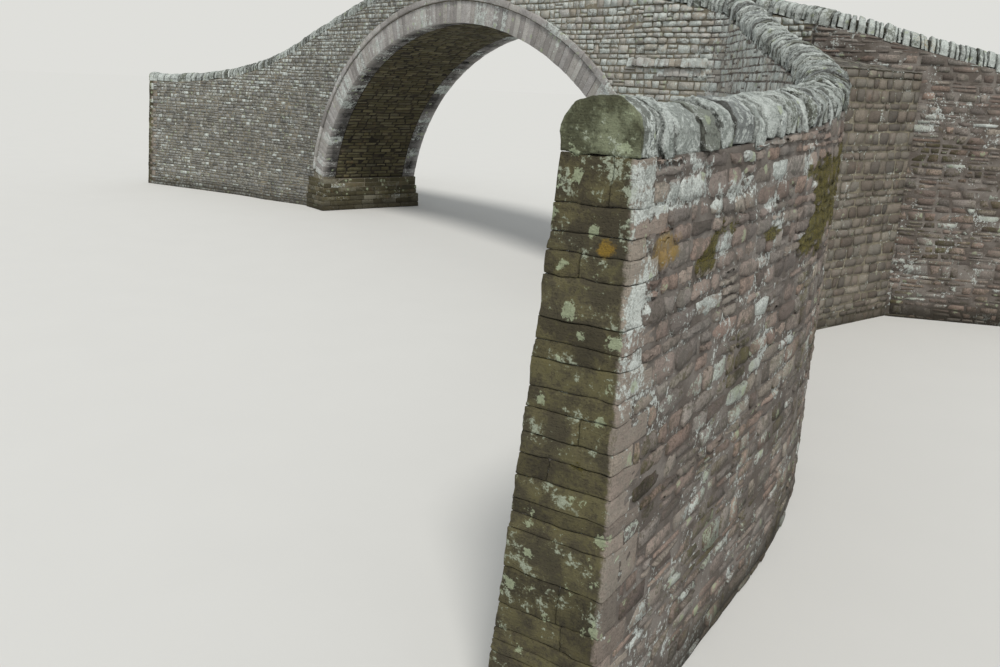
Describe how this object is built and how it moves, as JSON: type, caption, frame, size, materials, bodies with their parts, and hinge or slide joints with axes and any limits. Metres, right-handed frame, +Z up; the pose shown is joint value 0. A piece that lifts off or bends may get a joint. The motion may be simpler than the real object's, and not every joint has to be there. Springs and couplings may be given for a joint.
{
  "type": "packhorse bridge",
  "caption": "Humped single-arch stone bridge with parapets, half-round coping and wing walls that sweep out to squared end piers.",
  "frame": {"origin": "middle of the bridge's length and width, at the level of the walls' foot; the arch's centre line crosses it", "axes": "+X along the bridge to the near bank, +Z up, -Y the face seen first"},
  "size_m": [33.8265, 24.5364, 7.62],
  "materials": {
    "face_rubble": "weathered coursed rubble, grey-buff with pale lichen",
    "wing_rubble": "weathered coursed rubble, pinkish brown and grey with pale lichen",
    "coping_stone": "weathered stones set on edge, grey-green with white lichen",
    "ring_stone": "dressed ring stones, pale grey",
    "vault_stone": "damp coursed stone, dark brown",
    "footing_stone": "wet-stained squared courses, olive brown",
    "pier_stone": "large squared blocks, dark with pale green and ochre lichen",
    "deck_stone": "worn pitched stone, grey",
    "core_rubble": "rough hearting of rubble, brown grey"
  },
  "bodies": {
    "root": {"abutment_far": "footing_stone", "abutment_near": "footing_stone", "footing_far": "footing_stone", "footing_near": "footing_stone", "vault_springer_far": "vault_stone", "vault_haunch_far": "vault_stone", "vault_crown": "vault_stone", "vault_haunch_near": "vault_stone", "vault_springer_near": "vault_stone", "arch_ring_front": "ring_stone", "arch_ring_back": "ring_stone", "hood_mould_front": "ring_stone", "hood_mould_back": "ring_stone", "spandrel_front_far": "face_rubble", "spandrel_front_near": "face_rubble", "spandrel_back_far": "face_rubble", "spandrel_back_near": "face_rubble", "core_far": "core_rubble", "core_near": "core_rubble", "deck": "deck_stone", "parapet_front": "face_rubble", "parapet_back": "face_rubble", "coping_front": "coping_stone", "coping_back": "coping_stone", "shoulder_front_near": "wing_rubble", "shoulder_back_near": "wing_rubble", "wing_front_near": "wing_rubble", "wing_back_near": "wing_rubble", "wing_front_far": "wing_rubble", "wing_back_far": "wing_rubble", "end_pier_front_near": "pier_stone", "end_pier_back_near": "pier_stone", "end_pier_front_far": "pier_stone", "end_pier_back_far": "pier_stone", "wing_coping_front_near": "coping_stone", "wing_coping_back_near": "coping_stone", "wing_coping_front_far": "coping_stone", "wing_coping_back_far": "coping_stone", "end_stone_front_near": "coping_stone", "end_stone_back_near": "coping_stone", "end_stone_front_far": "coping_stone", "end_stone_back_far": "coping_stone", "corbel_courses": "wing_rubble"}
  },
  "joints": []
}
